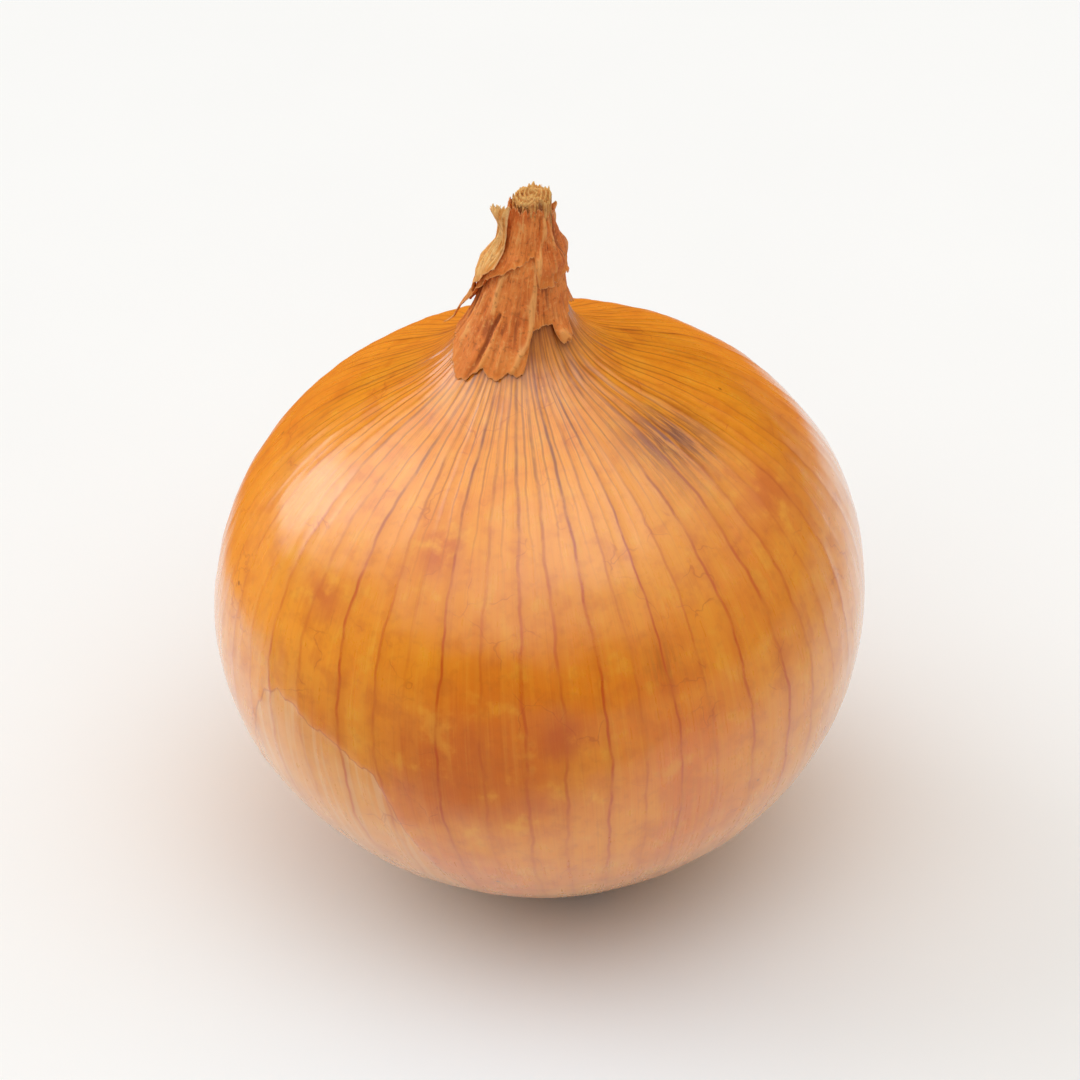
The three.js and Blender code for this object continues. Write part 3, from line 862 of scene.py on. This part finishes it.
def neck_sheath():
    """The upper dry leaf, rolled round the stalk."""

    def outer(azimuth, along, rim):
        up = (along - SHEATH_HEM) * SKIN.length
        marks = named_folds(azimuth, along, SHEATH_FOLDS)
        long_folds = creased(azimuth + 0.015 * up, along, 22, 2.2, 5)
        short_folds = creased(azimuth, along, 25, 6.0, 18)
        crumple = creased(azimuth, along, 27, 5.0, 60)
        fold = 0.3 * long_folds + 0.25 * short_folds + 0.2 * crumple
        curl = 0.35 * smoothstep(rim, 1.0, 0) * np.maximum(0, ragged(azimuth, 24, 5))
        hugging = smoothstep(rim, 3.0, 0.3) * smoothstep(np.degrees(azimuth), -130, -60)
        lift = sheath_lift(azimuth, along) + SHEATH_OFF_CAD + curl - 0.35 * hugging
        return lift + 0.24 * fold + 0.75 * marks, fold + 2.2 * marks

    def low(azimuth):
        torn = hem_rise(SHEATH_HEM_RISE, azimuth) + 0.35 * ragged(azimuth, 21, 12)
        return SHEATH_HEM + torn / SKIN.length

    def high(azimuth):
        torn = 0.6 * ragged(azimuth, 34, 16) - hem_rise(SHEATH_RIM_DROP, azimuth)
        return SHEATH_RIM + torn / SKIN.length

    return leaf(np.radians(-290), np.radians(95), low, high, outer, columns=480, rows=100)


FLAP_AZIMUTH = math.radians(-168)
FLAP_WIDTH = math.radians(56)


def neck_flap():
    """The loose strip at the left, standing off at its top."""
    tip = SHEATH_RIM - 0.4 / SKIN.length
    start, end = FLAP_AZIMUTH - FLAP_WIDTH / 2, FLAP_AZIMUTH + FLAP_WIDTH / 2

    def outer(azimuth, along, rim):
        share = (along - SHEATH_HEM) / (tip - SHEATH_HEM)
        leftward = np.clip((end - azimuth) / FLAP_WIDTH, 0, 1)
        foot = 0.5 * smoothstep(share, 0.2, -0.3)
        stand_off = 0.15 * share + foot + (0.4 + 1.8 * leftward) * smoothstep(share, 0.80, 1)
        fold = 0.6 * creased(azimuth, along, 42, 3.0, 9) + 0.4 * creased(azimuth, along, 45, 8.0, 40)
        middle_ridge = np.exp(-(((leftward - 0.45) / 0.16) ** 2))
        lift = sheath_lift(azimuth, along) + SHEATH_OFF_CAD + 0.45 + stand_off
        return lift + 0.16 * fold + 0.20 * middle_ridge, fold + 0.5 * middle_ridge

    def low(azimuth):
        return SHEATH_HEM + (hem_rise(FLAP_HEM_RISE, azimuth) + 0.3 * ragged(azimuth, 44, 12)) / SKIN.length

    def high(azimuth):
        leftward = np.clip((end - azimuth) / FLAP_WIDTH, 0, 1)
        return tip + (0.5 * ragged(azimuth, 47, 26) + 0.7 - 2.0 * smoothstep(leftward, 0.3, 1)) / SKIN.length

    return leaf(start, end, low, high, outer, columns=100, rows=120)


def root_flake(middle, width, reach, seed):
    """A flake left of an outer skin beside the roots, with its middle and width in degrees."""
    inner = SKIN.at_low_radius(DIMPLE_RADIUS + 1.6)
    start, end = np.radians(middle - width / 2), np.radians(middle + width / 2)

    def outer(azimuth, along, rim):
        out = (along - inner) * SKIN.length / reach
        fold = 0.6 * creased(azimuth, along, seed, 4, 14) + 0.4 * creased(azimuth, along, seed + 3, 12, 50)
        return GAP + 0.35 + 0.35 * out**2 + 0.12 * fold, fold

    def high(azimuth):
        share = np.sin(np.pi * np.clip((azimuth - start) / (end - start) * 0.9 + 0.05, 0, 1))
        return inner + (reach * share + 1.0 * ragged(azimuth, seed, 16)) / SKIN.length

    return leaf(start, end, lambda azimuth: inner, high, outer, columns=120, rows=40)


def joined(forms):
    """Several forms, each of points, faces and attributes, as one."""
    points, faces, attributes, count = [], [], {}, 0
    for form_points, form_faces, form_attributes in forms:
        points.append(form_points)
        faces += [tuple(v + count for v in face) for face in form_faces]
        for key, values in form_attributes.items():
            attributes.setdefault(key, []).append(values)
        count += len(form_points)
    return np.concatenate(points), faces, {key: np.concatenate(values) for key, values in attributes.items()}


WISPS = 15


def root_wisp(middle, half, reach, start_radius, rise, seed):
    """One pointed wisp of dry skin beside the roots."""
    inner = SKIN.at_low_radius(start_radius)

    def outer(azimuth, along, rim):
        out = (along - inner) * SKIN.length / reach
        fold = creased(azimuth, along, seed + 80, 9, 30)
        return 0.3 + rise * out**2 + 0.08 * fold, fold

    def high(azimuth):
        point = np.maximum(0, 1 - np.abs(azimuth - middle) / half) ** 1.4
        return inner + (0.3 + reach * point + 0.25 * ragged(azimuth, seed + 70, 30)) / SKIN.length

    start, end = middle - half, middle + half
    return leaf(start, end, lambda azimuth: inner, high, outer, columns=16, rows=20, film=0.15)


def root_tatters():
    """Wisps all round the root plate."""
    random = random_from(61)
    forms = []
    for k in range(WISPS):
        middle = TURN * (k + random.uniform(-0.3, 0.3)) / WISPS
        half = np.radians(random.uniform(5, 11))
        reach = random.uniform(2.0, 4.6)
        start_radius = random.uniform(6.4, 8.0)
        rise = random.uniform(0.1, 0.8)
        forms.append(root_wisp(middle, half, reach, start_radius, rise, k))
    return joined(forms)


# ---- fibres and roots


def tube(path, radii, sides, shade):
    """A closed tube along a path, with a radius at each of its points."""
    tangent = np.gradient(path, axis=0)
    tangent /= np.linalg.norm(tangent, axis=1, keepdims=True) + 1e-9
    guide = np.array([0.31, 0.27, 0.91])
    across = np.cross(tangent, guide)
    across /= np.linalg.norm(across, axis=1, keepdims=True) + 1e-9
    other = np.cross(tangent, across)
    turn = np.arange(sides) * TURN / sides
    ring = np.cos(turn)[None, :, None] * across[:, None] + np.sin(turn)[None, :, None] * other[:, None]
    points = (path[:, None] + ring * radii[:, None, None]).reshape(-1, 3)
    points = np.concatenate([points, path[:1], path[-1:]])
    return points, closed_faces(len(path), sides), {"shade": np.full(len(points), shade)}


def neck_stalk():
    """The withered inner leaves, cut off ragged at the top, with their layers and loose fibres showing."""
    columns, wall_rows, top_rows = 168, 60, 26
    azimuth = np.linspace(0, TURN, columns, endpoint=False)[None, :]
    start = SKIN.at_height(BULB_TOP_Z + GAP)
    along = np.linspace(start, 1.0, wall_rows)[:, None] + 0 * azimuth
    pleats = creased(azimuth + 0 * along, along, 31, 4.4, 6)
    lip = 0.9 * ragged(azimuth[0], 33, 7)
    flare = 0.15 * smoothstep(along, 0.98, 1.0)
    side = beside(azimuth + 0 * along, along, 0.13 * pleats - 0.05 + flare)
    side[..., 2] += lip * smoothstep(along, 0.97, 1.0)
    share = np.linspace(0.96, 0.06, top_rows)[:, None]
    r = (NECK_TIP_RADIUS + 0.15) * share + 0 * azimuth
    layers = np.sin(TURN * r / 0.52 + azimuth)
    cut = polar(azimuth, r, 0 * r)
    height = lip * share**2 + 0.30 * layers + 0.55 * rough(cut, 0.8, 35) + 0.5 * (1 - share)
    cut[..., 2] = side[-1, :, 2].mean() + height
    even = np.concatenate([side, cut])
    ends = [[0, 0, BULB_TOP_Z + GAP], [0, 0, even[-1, :, 2].mean()]]
    points = grown(np.concatenate([even.reshape(-1, 3), ends]))

    fold = np.concatenate([pleats, layers + 0.4])
    rim = np.concatenate([(1 - along) * SKIN.length, 0 * layers])
    along = np.concatenate([along, np.ones_like(layers)])
    azimuth = azimuth + 0 * along
    attributes = {"even": even_places(azimuth, along), "paper": triples(fold, rim, 0 * fold + 1)}
    stalk = (points, closed_faces(wall_rows + top_rows, columns), with_ends(attributes))
    return joined([stalk] + stalk_fibres())


STALK_FIBRES = 46


def stalk_fibres():
    """Short dry fibres that stand up from the stalk's cut top."""
    random = random_from(37)
    forms = []
    for _ in range(STALK_FIBRES):
        azimuth = random.uniform(0, TURN)
        r = NECK_TIP_RADIUS * math.sqrt(random.uniform(0.05, 1.0))
        length = random.uniform(0.5, 1.5)
        steps = np.linspace(0, 1, 6)
        bend = random.uniform(-0.5, 0.5, 2)
        x = r * np.cos(azimuth) + bend[0] * steps**2
        y = r * np.sin(azimuth) + bend[1] * steps**2
        z = SKIN.z[-1] - 0.5 + length * steps
        radii = random.uniform(0.05, 0.11) * (1 - 0.6 * steps)
        points, faces, _ = tube(grown(np.stack([x, y, z], axis=-1)), radii, 5, 0.0)
        even = np.tile([np.cos(azimuth), np.sin(azimuth), 1.0], (len(points), 1))
        # A fold of 0.9 gives the fibres the paper's painted ridge highlight.
        paper = np.tile([0.9, 0.2, 1.0], (len(points), 1))
        forms.append((points, faces, {"even": even, "paper": paper}))
    return forms


PLATE_RADIUS = 6.4
PLATE_SHADE = 0.12
ROOTS = 360
ROOT_STEPS = 11


def root_path(random):
    """One dry root, out of the plate and curling along the table."""
    azimuth = random.uniform(0, TURN)
    start = PLATE_RADIUS * math.sqrt(random.uniform(0, 1)) * 0.96
    reach = start + 0.8 + 3.8 * random.uniform(0, 1) ** 2
    t = np.linspace(0, 1, ROOT_STEPS)
    r = start + (reach - start) * t**0.8
    r = r + random.uniform(-0.5, 0.5) * np.sin(TURN * t * random.uniform(0.5, 1.2))
    turned = azimuth + random.uniform(-0.9, 0.9) * t**1.5
    turned = turned + random.uniform(-0.12, 0.12) * np.sin(2 * TURN * t)
    top = bottom_of_skin(start) - 0.2
    height = random.uniform(0.15, 1.9)
    z = height + (top - height) * (1 - t) ** 1.6 + random.uniform(-0.3, 0.5) * np.sin(TURN * t)
    return polar(turned, r, z)


def root_plate():
    """The root plate with its matted tuft, pressed flat where the onion stands on it."""
    random = random_from(77)
    columns, rows = 120, 22
    azimuth = np.linspace(0, TURN, columns, endpoint=False)[None, :]
    share = np.linspace(0.03, 1, rows)[:, None]
    r = PLATE_RADIUS * share + 0 * azimuth
    under = polar(azimuth, r, 0 * r)
    under[..., 2] = 0.7 + 0.5 * rough(under, 1.3, 51, 4) + 0.6 * share**6
    over = under[::-1].copy()
    over[..., 2] = bottom_of_skin(r[::-1]) - 0.1
    ends = [[0, 0, 0.7], [0, 0, bottom_of_skin(0) - 0.1]]
    points = np.concatenate([np.concatenate([under, over]).reshape(-1, 3), ends])
    shade = np.full(len(points), PLATE_SHADE)
    forms = [(grown(points), closed_faces(2 * rows, columns), {"shade": shade})]
    for _ in range(ROOTS):
        path = grown(root_path(random))
        radii = random.uniform(0.10, 0.24) * np.linspace(1, 0.45, ROOT_STEPS)
        path[:, 2] = np.maximum(path[:, 2], radii + 0.02)
        forms.append(tube(path, radii, 6, random.uniform(0, 1) ** 1.5))
    points, faces, attributes = joined(forms)
    points[:, 2] = np.maximum(points[:, 2], 0.0)
    return points, faces, attributes


# ---- the onion


def dress():
    """Makes each piece, moves it to where the CAD's is, hangs it on the body it rides on and hides the CAD
    parts it stands for.
    """
    skin = skin_material()
    brown = paper_material("neck_paper", "d46a22", "ea8638", "f4b468", "f0c88e")
    golden = paper_material("flap_paper", "d6883a", "eaa04c", "f8cc84", "f8dca8")
    straw = paper_material("stalk_paper", "c47a34", "dc9a4a", "f0be70", "f0c87c")
    flake = paper_material("flake_paper", "b5743a", "cb8f52", "ecc793", "f1d9ae")
    roots = root_material()
    forms = (
        ("bulb_skin", make_bulb, skin, "skin", ["bulb"]),
        ("neck_collar_leaf", neck_collar, brown, "dry_leaf", ["neck_collar"]),
        ("neck_sheath_leaf", neck_sheath, brown, "dry_leaf", ["neck_sheath"]),
        ("neck_flap_leaf", neck_flap, golden, "pale_leaf", ["neck_flap"]),
        ("neck_stalk_cut", neck_stalk, straw, "stalk", ["neck_stalk"]),
        ("root_tuft", root_plate, roots, "roots", ["root_plate"]),
        ("root_flake_left", lambda: root_flake(170, 70, 6.5, 41), flake, "pale_leaf", ["skin_flake_left"]),
        ("root_flake_front", lambda: root_flake(-75, 50, 5, 42), flake, "pale_leaf", ["skin_flake_front"]),
        ("root_skin_wisps", root_tatters, flake, "pale_leaf", []),
    )
    low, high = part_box("bulb")
    smooth_bulb = grown(beside(*np.meshgrid(np.linspace(0, TURN, 721), np.linspace(0, 1, 500)), 0.0))
    own = smooth_bulb[smooth_bulb[..., 2] < BULB_TOP_Z]
    middle = (own.min(axis=0) + own.max(axis=0)) / 2
    shift = np.array([(low.x + high.x) / 2 / MM - middle[0], (low.y + high.y) / 2 / MM - middle[1], 0])
    for name, form, material, slot, nodes in forms:
        points, faces, attributes = form()
        piece = make_piece(name, points + shift, faces, material, attributes)
        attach(piece, "root")
        if nodes:
            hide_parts(*nodes)


# ---- floor, light and camera, in metres

SIGHT_ELEVATION = math.radians(38)
SIGHT_DISTANCE = 0.950
FRAME_WIDTH = 0.134  # seen at the onion's middle
ONION_MIDDLE_Z = 0.038
AIM_Z = 0.0466
SENSOR = 36.0  # millimetres

FLOOR_HALF = 3.0
# Painted reflections: floor colours that only glossy rays see, dark in front, amber behind in place of other
# onions, grey to the right.
FLOOR_PAINTED_REFLECTIONS = (  # what the skin's gloss shows of the floor: a direction, the metres that way, a colour
    ((-0.55, -0.83, 0.0), 0.035, 0.095, "2c2724"),
    ((-0.50, 0.87, 0.0), 0.075, 0.125, "dc8420"),
    ((0.94, -0.34, 0.0), 0.080, 0.200, "a39b94"),
)


def make_floor():
    """A pale floor, with painted reflections that only the skin's gloss sees: dark in front, amber behind in
    place of other onions, and grey to the right.
    """
    mesh = bpy.data.meshes.new("floor")
    corners = [(x * FLOOR_HALF, y * FLOOR_HALF, 0) for x, y in ((-1, -1), (1, -1), (1, 1), (-1, 1))]
    mesh.from_pydata(corners, [], [(0, 1, 2, 3)])
    look = Look("floor_paint")
    place = look.node("TexCoord").outputs["Object"]
    in_gloss = look.node("LightPath").outputs["Is Glossy Ray"]
    colour = look.mix(look.noise(look.place(), 1 / 40), tone("edf3f6"), tone("f0f6f9"))
    # Painted reflection: each patch colours the floor only for glossy rays.
    for direction, near, far, seen in FLOOR_PAINTED_REFLECTIONS:
        away = look.dot(place, direction)
        colour = look.mix(look.times(in_gloss, look.smooth(away, near, far)), colour, tone(seen))
    mesh.materials.append(look.finish(Base_Color=colour, Roughness=0.6, Specular_IOR_Level=0.3))
    floor = add_object("floor", mesh)


def toward(elevation, azimuth):
    """The direction at an elevation and an azimuth from the front, in degrees, positive to +X."""
    up, turn = math.radians(elevation), math.radians(azimuth)
    return (math.cos(up) * math.sin(turn), -math.cos(up) * math.cos(turn), math.sin(up))


BACKDROP = 0.9  # what the camera sees of the world
SKY_LIGHT = 1.12  # straight overhead, falling to none near the horizon
LOW_GLOW = 0.22  # near the horizon, all round but in front
LOW_GLOW_GAP = toward(0, -14)
FRONT_PANEL = toward(28, -28)
FRONT_PANEL_LIGHT = 0.50
NEIGHBOURS = toward(15, 175)  # where the photograph's other onions reflect their colour
NEIGHBOUR_TINT = (1.0, 0.50, 0.10, 1.0)
SOFT_LIGHTS = (  # direction, cosines of its outer and inner angles, strength
    (toward(72, 30), 0.87, 0.996, 0.85),
    (toward(36, -108), 0.90, 0.98, 1.45),
    (toward(16, -119), 0.955, 0.99, 2.20),
)


def make_world():
    """A bright sky, a soft key light high up, a window on the left and a wide low panel in front."""
    world = bpy.data.worlds.new("studio")
    world.use_nodes = True
    bpy.context.scene.world = world
    look = Look("studio", world.node_tree)
    background = world.node_tree.nodes["Background"]
    ray = look.node("TexCoord").outputs["Generated"]
    up = look.parts(ray)[2]

    level = look.times(look.smooth(up, 0.28, 1.0), SKY_LIGHT)
    glow = look.times(look.smooth(up, 0.0, 0.12), look.smooth(look.dot(ray, LOW_GLOW_GAP), 0.90, 0.45))
    level = look.add(level, look.times(glow, LOW_GLOW))
    panel = look.times(look.smooth(up, 0.36, 0.48), look.smooth(look.dot(ray, FRONT_PANEL), 0.75, 0.93))
    level = look.add(level, look.times(panel, FRONT_PANEL_LIGHT))
    for middle, outer, inner, strength in SOFT_LIGHTS:
        level = look.add(level, look.times(look.smooth(look.dot(ray, middle), outer, inner), strength))
    seen = look.node("LightPath").outputs["Is Camera Ray"]
    unseen = look.math("SUBTRACT", 1.0, seen)
    amber = look.times(look.smooth(look.dot(ray, NEIGHBOURS), 0.55, 0.85), unseen)
    look.put(background.inputs["Color"], look.mix(amber, (1.0, 1.0, 1.0, 1.0), NEIGHBOUR_TINT))
    strength = look.add(look.times(level, unseen), look.times(seen, BACKDROP))
    look.put(background.inputs["Strength"], strength)


def make_camera():
    data = bpy.data.cameras.new("camera")
    data.sensor_width = SENSOR
    data.lens = SENSOR * SIGHT_DISTANCE / FRAME_WIDTH
    camera = add_object("camera", data)
    back = Vector((0, -math.cos(SIGHT_ELEVATION), math.sin(SIGHT_ELEVATION)))
    camera.location = Vector((0, 0, ONION_MIDDLE_Z)) + back * SIGHT_DISTANCE
    aim = Vector((0, 0, AIM_Z)) - camera.location
    camera.rotation_mode = "QUATERNION"
    camera.rotation_quaternion = aim.to_track_quat("-Z", "Y")
    bpy.context.scene.camera = camera


make_camera()
make_floor()
make_world()
bpy.context.scene.view_settings.view_transform = "Standard"
dress()
